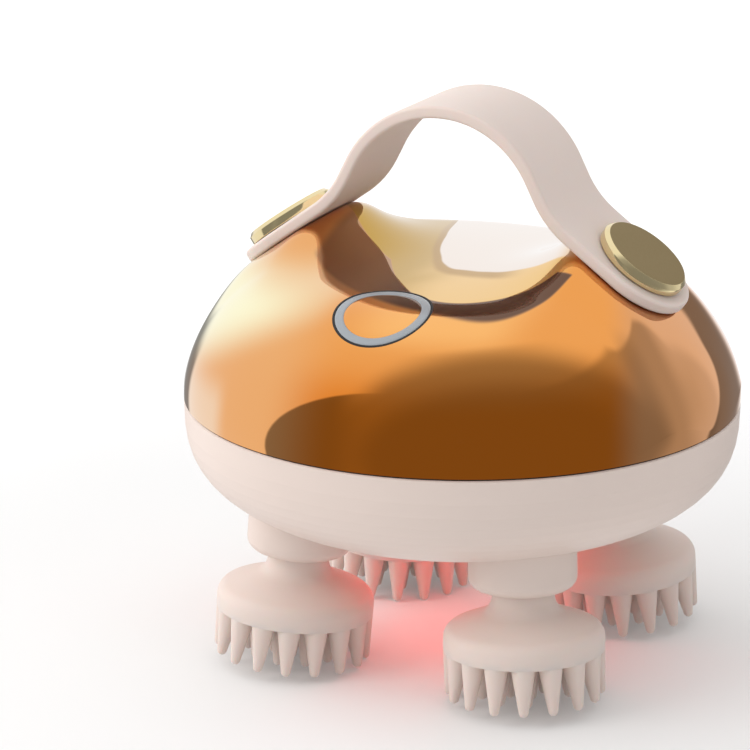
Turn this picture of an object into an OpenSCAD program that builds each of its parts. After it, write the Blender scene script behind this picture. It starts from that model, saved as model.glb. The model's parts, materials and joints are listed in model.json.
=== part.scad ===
// Electric scalp massager: a round body under a hand strap, standing on four turning heads.
// One motor drives the heads through a reduction pair and a central gear.
// The origin is on the surface it stands on, under the middle of the body. +Z is up,
// the power button faces -Y and the strap runs along X.

/* [Body] */
// Diameter of the body at the seam between its two shells
body_d = 120; // [118:0.5:126]
// Height that the dome would reach above the seam without its valley
dome_h = 46.5; // [45:0.5:48]
// Depth of the lower shell below the seam
bowl_h = 28; // [27.5:0.5:31]
// Wall thickness of both shells
wall = 2.2; // [1.8:0.1:2.4]
// Gap between the shells, filled by the seal
seam_gap = 0.6; // [0.4:0.1:1]
// Height of the valley's floor above the seam
valley_h = 30.8; // [29.5:0.1:31.5]
// How much the valley rises from its middle to the strap's legs
valley_rise = 7.5; // [6:0.1:9]
// Softness of the edge between valley and dome
valley_blend = 5; // [4:0.5:7]

/* [Hand strap] */
// Width of the strap
strap_w = 25.5; // [22:0.5:27]
// Thickness of the strap
strap_t = 2.7; // [2:0.1:3.2]
// Height of the strap's crown above the seam
strap_h = 65.2; // [62:0.2:68]
// Outer radius of the strap's crown
strap_r = 24.5; // [22:0.5:26]
// Steepness of the strap's legs in degrees
strap_lean = 63; // [58:1:68]
// Outer radius of the bend between leg and shoulder
strap_bend = 20; // [14:1:22]
// Distance of each strap fixing from the middle of the body
strap_half = 38.8; // [38:0.2:40]
// Slope of the shoulders that the strap lies on, in degrees
shoulder = 36; // [34:0.5:38]
// Height of the strap seats over the dome
seat_rise = 0.2; // [0.1:0.05:0.6]
// Diameter of the metal caps on the strap
cap_d = 20.4; // [18:0.2:22]
// Thickness of the metal caps
cap_t = 2.8; // [2.4:0.1:3.4]
// Width of the caps' polished bevel
cap_bevel = 0.6; // [0.3:0.1:1]
// Diameter of the strap screws' shanks
strap_screw_d = 4; // [3:0.5:5]

/* [Power button] */
// Diameter of the button with its lit ring
button_d = 20; // [18:0.5:21]
// Distance of the button's middle in from the body's edge
button_in = 20.4; // [19:0.1:21]
// Width of the lit ring at its sides
ring_side = 3.2; // [2:0.1:3.6]
// Width of the lit ring at its top and bottom
ring_top = 2.5; // [1.5:0.1:3.4]
// How far the button goes in
button_travel = 0.8; // [0.5:0.1:1]
// Running gap around the button
button_gap = 0.15; // [0.1:0.05:0.25]
// Width of the dark gasket around the button
gasket_w = 0.4; // [0.3:0.05:0.6]

/* [Heads] */
// Distance of each head's middle from the body's axis, at its rim
head_r = 38; // [37:0.2:39]
// Drop from the seam to the rims of the heads
rim_drop = 42.5; // [42:0.1:44]
// Outward lean of the heads in degrees
head_lean = 4.7; // [0:0.1:6]
// Diameter of a head's rim
rim_d = 34; // [32:0.5:35]
// Height of the rim's edge under its widest line
rim_t = 2.6; // [2:0.1:3]
// Diameter of a head's neck
neck_d = 13.2; // [12.4:0.1:13.8]
// Slope of the head's flare in degrees
flare_slope = 22; // [16:1:26]
// Radius between neck and flare
flare_r = 4; // [3:0.2:5]
// Radius of the flare's outer shoulder
rim_r = 3; // [2:0.2:3.6]
// Length of the tines below the rim
tine_len = 10.1; // [9:0.1:12]
// Diameter of a tine at its root
tine_d = 4.6; // [4:0.1:5]
// Diameter of a tine at its tip
tip_d = 1.6; // [1.2:0.1:2.2]
// Number of tines in the outer ring
outer_tines = 16; // [12:2:18]
// Number of tines in the middle ring
middle_tines = 10; // [8:1:11]
// Number of tines in the inner ring
inner_tines = 5; // [4:1:5]
// Diameter of the collars over the heads
collar_d = 22.8; // [22:0.2:24]
// Height of the collars' lower edge over the rim of the head
collar_rise = 10.8; // [10.6:0.1:11.5]
// Radius of the collars' lower edge
collar_round = 2.5; // [1.5:0.1:3]

/* [Drive] */
// Teeth of the central gear
sun_teeth = 44; // [42:1:46]
// Teeth of each head's gear
head_teeth = 28; // [26:1:30]
// Teeth of the intermediate gear's small wheel
small_teeth = 12; // [11:1:13]
// Teeth of the intermediate gear's large wheel
large_teeth = 30; // [28:1:31]
// Teeth of the motor's pinion
pinion_teeth = 12; // [11:1:13]
// Module of the fast gear pair
fast_module = 0.8; // [0.76:0.02:0.82]
// Width of the slow gears' faces
gear_face = 3; // [2.6:0.1:3.2]
// Width of the fast gears' faces
fast_face = 2.4; // [2:0.1:2.8]
// Play between gear flanks at the pitch line
backlash = 0.3; // [0.2:0.05:0.4]
// Room between the gearbox floor and the lower shell's lowest point
floor_room = 9; // [8.6:0.1:9.5]
// Thickness of the gearbox plates
plate_t = 2; // [1.6:0.1:2.4]
// Diameter of the head shafts
shaft_d = 6; // [5:0.2:6.4]
// Diameter of the central gear's axle
sun_axle_d = 4; // [3:0.2:5]
// Diameter of the intermediate gear's axle
small_axle_d = 3; // [2.4:0.2:3.6]
// Diameter of the motor
motor_d = 24; // [22:0.5:24.5]
// Length of the motor
motor_len = 26; // [22:0.5:27]
// Diameter of the motor's shaft
motor_shaft_d = 2; // [1.6:0.1:2.4]
// Radial running clearance of shafts in their holes
run_gap = 0.04; // [0.02:0.01:0.08]

/* [Power and light] */
// Diameter of the battery cell
cell_d = 18.2; // [16:0.2:18.6]
// Length of the battery cell
cell_len = 49; // [44:0.5:50]
// Diameter of the light window under the body
window_d = 28; // [24:0.5:30]
// Number of lamps on the light board
lamps = 6; // [4:1:8]
// Width of the charging port's cover
port_w = 13; // [12:0.2:15]
// Height of the charging port's cover
port_h = 7.4; // [7:0.1:8]
// Drop of the charging port's middle below the seam
port_drop = 7.2; // [6.8:0.1:7.6]

/* [Hidden] */
POS = ["back_right", "back_left", "front_left", "front_right"];

blush = "#e9d8d0";
gold = "#c98a4a";
pale_gold = "#d8c79a";
steel = "#b9bcc0";
dark = "#2b2a2c";
white_nylon = "#eeece4";

body_r = body_d / 2;
dome_full_r = 1.355;  // exponents that set how full the two curves are
dome_full_z = 1.97;
bowl_full_r = 2.66;
bowl_full_z = 3.06;
valley_legs = 26;     // distance from the middle at which the valley has its full rise
valley_flare = 17;    // half width over which that rise fades to front and back
valley_bow = 333.3;   // radius with which the valley's floor drops to front and back
ridge_sink = 0.2;     // how far the ridges stay under the strap's seats
ridge_flat = 11;      // half width of the ridges' level backs
ridge_round = 10;     // radius with which they round off beside that
ridge_len = 44;       // distance from the middle at which they start to run out
ridge_end = 10;       // radius with which they run out
ridge_blend = 3;
skin_rings = 21;
skin_sides = 64;
bowl_steps = 22;
face_gap = 0.02;      // between pieces that are fixed on each other
rub_gap = 0.3;        // between moving faces
lip_bevel = 0.3;
past = 1;             // how far a cut runs past the face that it goes through
eps = 0.01;

// ---- Body surfaces, in millimetres above or below the seam ----
function smooth_min(a, b, k) = let (h = max(k - abs(a - b), 0) / k) min(a, b) - h * h * k / 4;
function dome_z(r, rad, high) =
    high * pow(max(0, 1 - pow(min(r / rad, 1), dome_full_r)), 1 / dome_full_z);
function valley_z(x, y) =
    valley_h + valley_rise * pow(abs(x) / valley_legs, 3) * exp(-pow(y / valley_flare, 2))
    - y * y / 2 / valley_bow;
// Ridges that rise from the dome to meet the strap's legs and shoulders
function seat_z(x) = (seat_d - abs(x) * sin(shoulder)) / cos(shoulder) - ridge_sink;
function ridge_z(x, y) = seat_z(x)
    - pow(max(0, abs(y) - ridge_flat), 2) / 2 / ridge_round
    - pow(max(0, abs(x) - ridge_len), 2) / 2 / ridge_end;
function cover_z(x, y, inset) = min(
    seat_z(x) - inset,
    smooth_min(-smooth_min(-dome_z(norm([x, y]), body_r - inset, dome_h - inset),
                           inset - ridge_z(x, y), ridge_blend),
               valley_z(x, y) - inset, valley_blend));
function bowl_z(r, inset) =
    (bowl_h - inset) * pow(max(0, 1 - pow(min(r / (body_r - inset), 1), bowl_full_r)),
                           1 / bowl_full_z);
function bowl_r(depth, inset) =
    (body_r - inset) * pow(max(0, 1 - pow(depth / (bowl_h - inset), bowl_full_z)),
                           1 / bowl_full_r);

// Solid under the dome's skin down to the seam, drawn in by inset
module cover_block(inset) {
    span = body_r - inset;
    top = [0, 0, cover_z(0, 0, inset)];
    foot = seam_gap / 2 - (inset > 0 ? past : 0);
    rim = [for (i = [1 : skin_rings], j = [0 : skin_sides - 1])
        let (r = span * sin(90 * i / skin_rings), a = 360 * j / skin_sides,
             x = r * cos(a), y = r * sin(a))
        [x, y, i == skin_rings ? foot : foot + max(0, cover_z(x, y, inset) - foot)]];
    last = 1 + skin_rings * skin_sides;
    polyhedron(
        concat([top], rim, [[0, 0, foot]]),
        concat(
            [for (j = [0 : skin_sides - 1]) [0, 1 + (j + 1) % skin_sides, 1 + j]],
            [for (i = [0 : skin_rings - 2], j = [0 : skin_sides - 1])
                let (k = (j + 1) % skin_sides, a = 1 + i * skin_sides, b = a + skin_sides)
                each [[a + j, a + k, b + j], [a + k, b + k, b + j]]],
            [for (j = [0 : skin_sides - 1])
                let (a = 1 + (skin_rings - 1) * skin_sides)
                [last, a + j, a + (j + 1) % skin_sides]]));
}

// Outline of the lower shell from its middle to the seam, drawn in by inset
function bowl_points(inset, low) =
    [for (i = [0 : bowl_steps]) let (r = (body_r - inset) * sin(90 * i / bowl_steps))
        [r, -max(low, bowl_z(r, inset))]];

module bowl_block(inset) {
    rotate_extrude($fn = 96)
        polygon(concat([[0, -seam_gap / 2]], bowl_points(inset, seam_gap / 2)));
}

// ---- Places ----
tip_edge = 0.3;       // how far the outer tines' tips stay inside the rim
root_edge = 0.1;      // how far their roots do
tip_at = rim_d / 2 - tip_d / 2 - tip_edge;
tine_at = rim_d / 2 - tine_d / 2 - root_edge;
tip_drop = rim_t + tine_len - tip_d / 2;
rim_z = tip_at * sin(head_lean) + tip_drop * cos(head_lean) + tip_d / 2;
seam_z = rim_z + rim_drop;

module at_seam() translate([0, 0, seam_z]) children();

// Head frame: the origin is in the middle of the rim, +Z runs up the shaft
module at_head(i) {
    rotate([0, 0, 45 + 90 * i])
        translate([head_r, 0, rim_z])
            rotate([0, -head_lean, 0]) children();
}

// Height above the seam, along a head's own axis, as a height over its rim
function on_axis(z) = (z + rim_drop) / cos(head_lean);

seat_d = max([for (r = [30 : 0.5 : 52])
    r * sin(shoulder) + dome_z(r, body_r, dome_h) * cos(shoulder)]) + seat_rise;
seat_s = (strap_half - seat_d * sin(shoulder)) / cos(shoulder);

// Strap seat frame: +Z is square to the shoulder, +X runs down it, side is -1 or 1
module at_seat(side) {
    mirror([side < 0 ? 1 : 0, 0, 0]) at_seam()
        translate([strap_half, 0, seat_d * cos(shoulder) - seat_s * sin(shoulder)])
            rotate([0, shoulder, 0]) children();
}

button_r = body_r - button_in;
button_slope = atan((cover_z(0, button_d / 2 - button_r, 0)
                     - cover_z(0, -button_d / 2 - button_r, 0)) / button_d);
module at_button() {
    at_seam() translate([0, -button_r, cover_z(0, -button_r, 0)])
        rotate([button_slope, 0, 0]) children();
}

// ---- Drive sizes ----
floor_drop = bowl_h - floor_room;
floor_top = plate_t - floor_drop;
lean_s = sin(head_lean);
sun_mid = floor_top + rub_gap + gear_face / 2;
function axis_r(z) = head_r - (z + rim_drop) * tan(head_lean);
pitch_rise = head_teeth / (sun_teeth + head_teeth) * axis_r(sun_mid) * lean_s;
head_gear_z = sun_mid + pitch_rise;
mesh_ease = 0.15;
slow_module = 2 * (axis_r(head_gear_z) - mesh_ease) / (sun_teeth + head_teeth);
head_gear_tip = slow_module * (head_teeth / 2 + 1);
fast_z = head_gear_z + head_gear_tip * lean_s + gear_face / 2 + rub_gap;
cover_floor = fast_z + fast_face + rub_gap;
cover_top = cover_floor + plate_t;
small_y = slow_module * (sun_teeth + small_teeth) / 2 + mesh_ease / 2;
motor_y = small_y - fast_module * (large_teeth + pinion_teeth) / 2 - mesh_ease / 2;
plate_gap = 0.4;      // between the gearbox and the shell around it
plate_r = bowl_r(floor_drop, wall) - plate_gap;
pillar_r = 41.4;
pillar_turn = 18;
pillar_d = 5.6;
chassis_screw_d = 2.4;
screw_head_h = 1.6;
slot_depth = 0.9;     // depth of the cross in a screw's head

pressure = 25;
addendum = 0.85;
dedendum = 1.15;
flank_steps = 4;

function inv(a) = tan(a) * 180 / PI - a;
function half_tooth(r, pitch, teeth) =
    90 / teeth - backlash / 4 / pitch * 180 / PI + inv(pressure)
    - inv(acos(min(1, pitch * cos(pressure) / r)));
function polar(r, a) = [r * cos(a), r * sin(a)];

// Involute gear outline with a tooth on +X
module gear_shape(teeth, m) {
    pitch = teeth * m / 2;
    root = pitch - dedendum * m;
    low = max(root + eps, pitch * cos(pressure) + eps);
    high = pitch + addendum * m;
    radii = [for (s = [0 : flank_steps]) low + (high - low) * s / flank_steps];
    polygon([for (k = [0 : teeth - 1]) let (a = 360 * k / teeth) each concat(
        [polar(root, a - half_tooth(low, pitch, teeth))],
        [for (r = radii) polar(r, a - half_tooth(r, pitch, teeth))],
        [for (s = [flank_steps : -1 : 0])
            polar(radii[s], a + half_tooth(radii[s], pitch, teeth))],
        [polar(root, a + half_tooth(low, pitch, teeth))])]);
}

// Turn of a gear at direction dir from another gear, so that their teeth interleave
function mesh_turn(dir, teeth_a, teeth_b) = dir + 180 - 180 / teeth_b + dir * teeth_a / teeth_b;

module oval(w, h) {
    if (w == h) circle(d = w, $fn = 72);
    else polygon([for (i = [0 : 59]) [w / 2 * cos(6 * i), h / 2 * sin(6 * i)]]);
}

module ring(r_out, r_in, h) difference() {
    cylinder(r = r_out, h = h, $fn = 72);
    translate([0, 0, -past]) cylinder(r = r_in, h = h + 2 * past, $fn = 48);
}

// Cross in the head of a screw whose top is at z
module cross_slot(len, w, z) for (a = [0, 90]) rotate([0, 0, a])
    translate([-len / 2, -w / 2, z - slot_depth]) cube([len, w, slot_depth + past]);

module box_at(size) translate([-size.x / 2, -size.y / 2, 0]) cube(size);

// ---- Shells ----
boss_r = 4.6;
boss_len = 8;
boss_floor = 1;
boss_sink = 0.5;     // how far the bosses end under the seats
button_hole_d = button_d + 2 * gasket_w;
button_reach = 10;   // depth of the button's hole
board_d = 12;        // depth of the control board under the cover's skin
board_w = 34;
board_h = 20;
board_t = 1.2;
board_post = 14;     // distance of the board's posts from its middle
board_post_r = 2;
spigot_t = 1.4;
spigot_gap = 0.5;    // between the spigot and the cover's inner wall
spigot_h = 3;
spigot_root = 0.4;   // how far the spigot is set into the shell's wall
pad_short = 5;       // how far the seats end before the strap bends away
pad_inset = 0.4;     // how far they stay inside the strap's edges
pad_depth = 6;

module seat_pad() translate([0, 0, -pad_depth]) {
    pad_w = strap_w - 2 * pad_inset;
    inner = seat_s - strap_seat_start - pad_short;
    cylinder(r = pad_w / 2, h = pad_depth, $fn = 72);
    translate([-inner, -pad_w / 2, 0]) cube([inner, pad_w, pad_depth]);
}

module top_cover() color(gold) difference() {
    union() {
        difference() {
            union() {
                at_seam() cover_block(0);
                for (side = [-1, 1]) at_seat(side) seat_pad();
            }
            at_seam() cover_block(wall);
        }
        for (side = [-1, 1]) at_seat(side)
            translate([0, 0, -boss_len]) cylinder(r = boss_r, h = boss_len - boss_sink, $fn = 48);
        for (side = [-1, 1]) at_button() translate([side * board_post, 0, board_t - board_d])
            cylinder(r = board_post_r, h = board_d - board_t - wall / 2, $fn = 32);
    }
    for (side = [-1, 1]) at_seat(side)
        translate([0, 0, boss_floor - boss_len])
            cylinder(d = strap_screw_d, h = boss_len, $fn = 48);
    at_button() translate([0, 0, -button_reach])
        cylinder(d = button_hole_d, h = 2 * button_reach, $fn = 72);
}

port_recess = 1.5;
port_flap = 1.2;
plug_len = 1.9;      // length of the flap's plug
plug_t = 1.6;        // thickness of the plug
port_gap = 0.3;
socket_w = 9;
socket_h = 3.4;
socket_len = 7;
socket_foot = 1.5;   // how far the socket's board runs on behind it
socket_board_w = socket_w + 3;
socket_room = 1;     // clear space around the socket
mouth_w = socket_w + 0.6;     // opening in front of it
mouth_h = socket_h + 1.2;
port_depth = 12;     // how far the port is cut into the body
port_y = bowl_r(port_drop, 0);
port_face = port_y - 4.4;     // inner face of the block that the socket sits on
block_d = 3.6;
block_w = port_w + 4;
block_h = port_h + 3;

module port_shape(grow) linear_extrude(port_depth + 8) {
    w = port_w + 2 * grow;
    h = port_h + 2 * grow;
    r = h / 2.5;
    for (x = [r - w / 2, w / 2 - r], z = [r - h / 2, h / 2 - r])
        translate([x, z]) circle(r = r, $fn = 32);
    square([w - 2 * r, h], center = true);
    square([w, h - 2 * r], center = true);
}
// Port frame: on the rear of the body, +Z points out of the port
module at_port(y) at_seam() translate([0, y, -port_drop]) rotate([-90, 0, 0]) children();

module slot(w, h, len) linear_extrude(len) {
    square([w - h, h], center = true);
    for (x = [(h - w) / 2, (w - h) / 2]) translate([x, 0]) circle(d = h, $fn = 32);
}

module lower_shell() color(blush) difference() {
    union() {
        at_seam() {
            rotate_extrude($fn = 96) polygon(concat(
                bowl_points(0, seam_gap / 2 + lip_bevel),
                [[body_r - lip_bevel, -seam_gap / 2]],
                [for (i = [bowl_steps : -1 : 0]) bowl_points(wall, seam_gap / 2)[i]]));
            rotate_extrude($fn = 96) {
                out = body_r - wall - spigot_gap;
                in = out - spigot_t;
                polygon([[in, -spigot_h], [bowl_r(spigot_h, wall) + spigot_root, -spigot_h],
                         [body_r - wall + spigot_root, -seam_gap / 2],
                         [out, -seam_gap / 2], [out, spigot_h], [in, spigot_h]]);
            }
        }
        intersection() {
            at_seam() bowl_block(wall / 2);
            at_seam() union() {
                for (a = [-pillar_turn, pillar_turn, 180 - pillar_turn, 180 + pillar_turn])
                    rotate([0, 0, a]) translate([pillar_r, 0, -bowl_h])
                        cylinder(d = pillar_d, h = bowl_h - floor_drop, $fn = 40);
                for (a = [90, 210, 330]) rotate([0, 0, a]) translate([board_ring, 0, -bowl_h])
                    cylinder(r = light_post_r, h = wall + light_lift, $fn = 24);
            }
        }
        intersection() {
            at_seam() bowl_block(wall / 2);
            at_port(port_face) linear_extrude(block_d) square([block_w, block_h], center = true);
        }
    }
    for (i = [0 : 3]) at_head(i) translate([0, 0, collar_rise])
        cylinder(d = collar_d + 2 * face_gap, h = on_axis(-floor_drop) + past - collar_rise,
                 $fn = 72);
    for (a = [-pillar_turn, pillar_turn, 180 - pillar_turn, 180 + pillar_turn])
        at_seam() rotate([0, 0, a]) translate([pillar_r, 0, -floor_drop - screw_in - rub_gap])
            cylinder(d = chassis_screw_d, h = screw_in + rub_gap + past, $fn = 32);
    at_seam() translate([0, 0, -bowl_h - past])
        cylinder(d = window_d + 2 * face_gap, h = wall + 4 * past, $fn = 72);
    intersection() {
        at_port(port_y - port_depth) port_shape(port_gap);
        at_seam() difference() {
            bowl_block(-past);
            bowl_block(port_recess);
        }
    }
    at_port(port_face - past) slot(mouth_w, mouth_h, port_depth);
}

seal_sink = 0.45;    // how far the seal lies under the body's surface
seal_in = 0.1;       // how far it stops short of the shells' inner faces
module seam_seal() color(dark) at_seam()
    translate([0, 0, -seam_gap / 2])
        ring(body_r - seal_sink, body_r - wall + seal_in, seam_gap);

// ---- Strap and its fixings ----
function line_x(d1, a1, d2, a2) = (d1 * cos(a2) - d2 * cos(a1)) / sin(a1 - a2);
function line_z(d1, a1, d2, a2) = (sin(a1) * d2 - sin(a2) * d1) / sin(a1 - a2);
crown_z = strap_h - strap_r;
strap_d = seat_d + strap_t;
bend_at = [line_x(strap_r + strap_bend + crown_z * cos(strap_lean), strap_lean,
                  strap_d + strap_bend, shoulder),
           line_z(strap_r + strap_bend + crown_z * cos(strap_lean), strap_lean,
                  strap_d + strap_bend, shoulder)];
strap_seat_start = bend_at.x * cos(shoulder) - bend_at.y * sin(shoulder);
strap_end = seat_s + strap_w / 2 + 0.5;

// Right half of the strap's side line, drawn in by inset from its outer face
function strap_line(inset) = concat(
    [for (i = [0 : 16]) let (a = strap_lean * i / 16)
        [(strap_r - inset) * sin(a), crown_z + (strap_r - inset) * cos(a)]],
    [for (i = [0 : 8]) let (a = strap_lean + (shoulder - strap_lean) * i / 8)
        bend_at - (strap_bend + inset) * [sin(a), cos(a)]],
    [[(strap_d - inset) * sin(shoulder) + strap_end * cos(shoulder),
      (strap_d - inset) * cos(shoulder) - strap_end * sin(shoulder)]]);
function flipped(list) = [for (i = [len(list) - 1 : -1 : 0]) [-list[i].x, list[i].y]];
function backwards(list) = [for (i = [len(list) - 1 : -1 : 0]) list[i]];

module hand_strap() color(blush) difference() {
    at_seam() translate([0, strap_w / 2, 0]) rotate([90, 0, 0]) linear_extrude(strap_w)
        polygon(concat(flipped(strap_line(0)), strap_line(0),
                       backwards(strap_line(strap_t)),
                       backwards(flipped(strap_line(strap_t)))));
    for (side = [-1, 1]) at_seat(side) {
        difference() {
            translate([0, -strap_w, -strap_t]) cube([strap_w, 2 * strap_w, 3 * strap_t]);
            translate([0, 0, -2 * strap_t])
                cylinder(d = strap_w + 2 * face_gap, h = 5 * strap_t, $fn = 96);
        }
        translate([0, 0, -past]) cylinder(d = strap_screw_d, h = strap_t + 2 * past, $fn = 48);
    }
}

screw_head_d = 8.4;
strap_cross = 4.8;   // length of the cross in its head
cap_lift = 0.3;
cap_step = 1;        // how far the caps' undersides stand back from their edges
cap_foot = 0.2;      // bevel of their lower edges

module strap_caps() color(pale_gold) for (side = [-1, 1]) at_seat(side)
    translate([0, 0, strap_t]) difference() {
        union() {
            translate([0, 0, cap_lift]) rotate_extrude($fn = 96) polygon([
                [0, 0], [cap_d / 2 - cap_foot, 0], [cap_d / 2, cap_foot],
                [cap_d / 2, cap_t - cap_bevel], [cap_d / 2 - cap_bevel, cap_t], [0, cap_t]]);
            cylinder(d = cap_d - 2 * cap_step, h = cap_lift + eps, $fn = 72);
        }
        translate([0, 0, -past])
            cylinder(d = screw_head_d + 0.4, h = past + screw_head_h + 0.2, $fn = 48);
    }

module strap_screws() color(steel) for (side = [-1, 1]) at_seat(side) difference() {
    union() {
        translate([0, 0, boss_floor + 0.5 - boss_len])
            cylinder(d = strap_screw_d - 2 * face_gap, h = boss_len + strap_t - boss_floor - 0.5,
                     $fn = 40);
        translate([0, 0, strap_t]) cylinder(d = screw_head_d, h = screw_head_h, $fn = 48);
    }
    cross_slot(strap_cross, 1, strap_t + screw_head_h);
}

// ---- Power button ----
// Slab of the cover's form around the button, from depth a to depth b under its skin
module button_slab(w, h, a, b) intersection() {
    at_button() translate([0, 0, -b]) linear_extrude(b + patch_edge) oval(w, h);
    at_seam() translate([0, 0, -a]) button_patch();
}
patch_steps = 14;
patch_low = 8;
patch_edge = 2.1;    // how far the patch of skin reaches past the button's hole
module button_patch() {
    n = patch_steps;
    half = button_hole_d / 2 + patch_edge;
    mid = -button_r;
    pts = [for (i = [0 : n], j = [0 : n])
        let (x = half * (2 * i / n - 1), y = mid + half * (2 * j / n - 1)) [x, y, cover_z(x, y, 0)]];
    low = cover_z(0, mid - half, 0) - patch_low;
    base = [for (p = pts) [p.x, p.y, low]];
    m = (n + 1) * (n + 1);
    polyhedron(concat(pts, base), concat(
        [for (i = [0 : n - 1], j = [0 : n - 1]) let (a = i * (n + 1) + j, b = a + n + 1)
            each [[a, a + 1, b], [a + 1, b + 1, b]]],
        [for (i = [0 : n - 1], j = [0 : n - 1]) let (a = m + i * (n + 1) + j, b = a + n + 1)
            each [[a, b, a + 1], [a + 1, b, b + 1]]],
        [for (i = [0 : n - 1]) let (a = i * (n + 1), b = a + n + 1)
            each [[a, b, a + m], [b, b + m, a + m]]],
        [for (i = [0 : n - 1]) let (a = i * (n + 1) + n, b = a + n + 1)
            each [[a, a + m, b], [b, a + m, b + m]]],
        [for (j = [0 : n - 1]) let (a = j, b = j + 1) each [[a, a + m, b], [b, a + m, b + m]]],
        [for (j = [0 : n - 1]) let (a = n * (n + 1) + j, b = a + 1)
            each [[a, b, a + m], [b, b + m, a + m]]]));
}

ring_d = button_d - 2 * button_gap;
face_w = ring_d - 2 * ring_side;
face_h = ring_d - 2 * ring_top;
ring_depth = 4;      // depth of the ring's flat underside below the button's middle
cap_depth = 5.4;
gasket_depth = 4.8;
gasket_sink = 0.05;
stem_r = 2.4;
stem_gap = 0.1;      // between the button's stem and the switch
switch_h = 3.2;
stem_end = board_d - board_t - switch_h - button_travel;

module button_cap() color(gold) {
    button_slab(face_w, face_h, 0, cap_depth);
    at_button() translate([0, 0, -cap_depth]) linear_extrude(cap_depth - ring_depth - face_gap)
        circle(d = ring_d, $fn = 72);
    at_button() translate([0, 0, stem_gap - stem_end])
        cylinder(r = stem_r, h = stem_end - cap_depth, $fn = 32);
}
module button_ring() color("#9aa3ad") difference() {
    button_slab(ring_d, ring_d, 0, ring_depth);
    at_button() translate([0, 0, -ring_depth - past]) linear_extrude(2 * ring_depth + past)
        oval(face_w + 2 * face_gap, face_h + 2 * face_gap);
}
module button_gasket() color(dark) difference() {
    button_slab(button_hole_d - 2 * face_gap, button_hole_d - 2 * face_gap, gasket_sink,
                gasket_depth);
    at_button() translate([0, 0, -button_reach])
        cylinder(d = button_d, h = 2 * button_reach, $fn = 72);
}

chip_w = 7;          // width of the board's controller
chip_h = 1.4;
driver_w = 5;        // width of its motor driver
driver_h = 1;
part_w = 1.6;        // width of its small parts
part_len = 3;
part_h = 0.8;
module control_board() color("darkgreen") at_button() translate([0, 0, -board_d]) {
    box_at([board_w, board_h, board_t]);
    translate([-board_w / 6, board_h / 4, -chip_h]) box_at([chip_w, chip_w, chip_h + eps]);
    translate([board_w / 6, -board_h / 4, -driver_h]) box_at([driver_w, part_len, driver_h + eps]);
    for (k = [0 : 3]) translate([board_w / 7 + 2 * part_w * k, board_h / 4, -part_h])
        box_at([part_w, part_len, part_h + eps]);
}

switch_w = 6;
plunger_r = 1.7;
plunger_h = 0.8;
module button_switch() color(dark) at_button() translate([0, 0, board_t - board_d]) {
    box_at([switch_w, switch_w, switch_h - plunger_h]);
    cylinder(r = plunger_r, h = switch_h, $fn = 32);
}

// ---- Gearbox ----
module at_pillars() for (a = [-pillar_turn, pillar_turn, 180 - pillar_turn, 180 + pillar_turn])
    rotate([0, 0, a]) translate([pillar_r, 0, 0]) children();

axle_boss = 1.5;     // width of the boss around the intermediate axle
screw_in = 1.4;      // how far the chassis screws reach into the lower shell
chassis_head_d = 4.4;
chassis_cross = 2.6;
plate_cut = 5;       // length of a hole's cut through a plate

module gearbox_floor() color(white_nylon) difference() {
    at_seam() {
        translate([0, 0, -floor_drop]) cylinder(r = plate_r, h = plate_t, $fn = 96);
        at_pillars() translate([0, 0, floor_top - eps])
            cylinder(d = pillar_d, h = cover_floor - floor_top + eps, $fn = 40);
        translate([0, small_y, floor_top - eps])
            cylinder(d = small_axle_d + 2 * axle_boss, h = rub_gap, $fn = 32);
    }
    for (i = [0 : 3]) at_head(i) translate([0, 0, collar_rise])
        cylinder(d = bush_d + 2 * face_gap, h = rim_drop - collar_rise, $fn = 48);
    at_seam() translate([0, 0, -floor_drop - past]) {
        at_pillars() cylinder(d = chassis_screw_d, h = floor_drop, $fn = 32);
        cylinder(d = sun_axle_d, h = plate_cut, $fn = 40);
        translate([0, small_y, 0]) cylinder(d = small_axle_d, h = plate_cut, $fn = 40);
    }
}

cover_edge = 0.4;    // how far the cover's edge lies outside the pillars
cover_r = pillar_r + pillar_d / 2 + cover_edge;
cup_t = 1.5;
cup_h = 8;
cup_gap = 0.1;       // between the motor and its cup
motor_hole_d = 6;
module gearbox_cover() color(white_nylon) difference() {
    at_seam() {
        translate([0, 0, cover_floor]) cylinder(r = cover_r, h = plate_t, $fn = 96);
        translate([0, motor_y, cover_top - eps])
            ring(motor_d / 2 + cup_gap + cup_t, motor_d / 2 + cup_gap, cup_h);
    }
    for (i = [0 : 3]) at_head(i) translate([0, 0, on_axis(cover_floor) - plate_cut / 2])
        cylinder(d = shaft_d + 2 * run_gap, h = 2 * plate_cut, $fn = 48);
    at_seam() translate([0, 0, cover_floor - past]) {
        at_pillars() cylinder(d = chassis_screw_d, h = plate_cut, $fn = 32);
        translate([0, motor_y, 0]) cylinder(d = motor_hole_d, h = plate_cut, $fn = 40);
        cylinder(d = sun_axle_d, h = past + plate_t / 2, $fn = 40);
        translate([0, small_y, 0]) cylinder(d = small_axle_d, h = past + plate_t / 2, $fn = 40);
    }
    at_port(port_face - socket_len - socket_foot - socket_room) linear_extrude(port_depth)
        square([socket_board_w + 2 * socket_room, socket_h + 2 * (board_t + socket_room)],
               center = true);
}

module chassis_screws() color(steel) at_seam() at_pillars() difference() {
    union() {
        translate([0, 0, -floor_drop - screw_in])
            cylinder(d = chassis_screw_d - 2 * face_gap, h = floor_drop + screw_in + cover_top,
                     $fn = 32);
        translate([0, 0, cover_top]) cylinder(d = chassis_head_d, h = screw_head_h, $fn = 32);
    }
    cross_slot(chassis_cross, 0.6, cover_top + screw_head_h);
}

hub_t = 2;           // width of the central gear's hub around its axle
web_sink = 1;        // depth of the recess in its face
web_rim = 3;         // width of its toothed rim inside the pitch circle
axle_short = 0.1;    // how far the axles stop short of their blind holes

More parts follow.
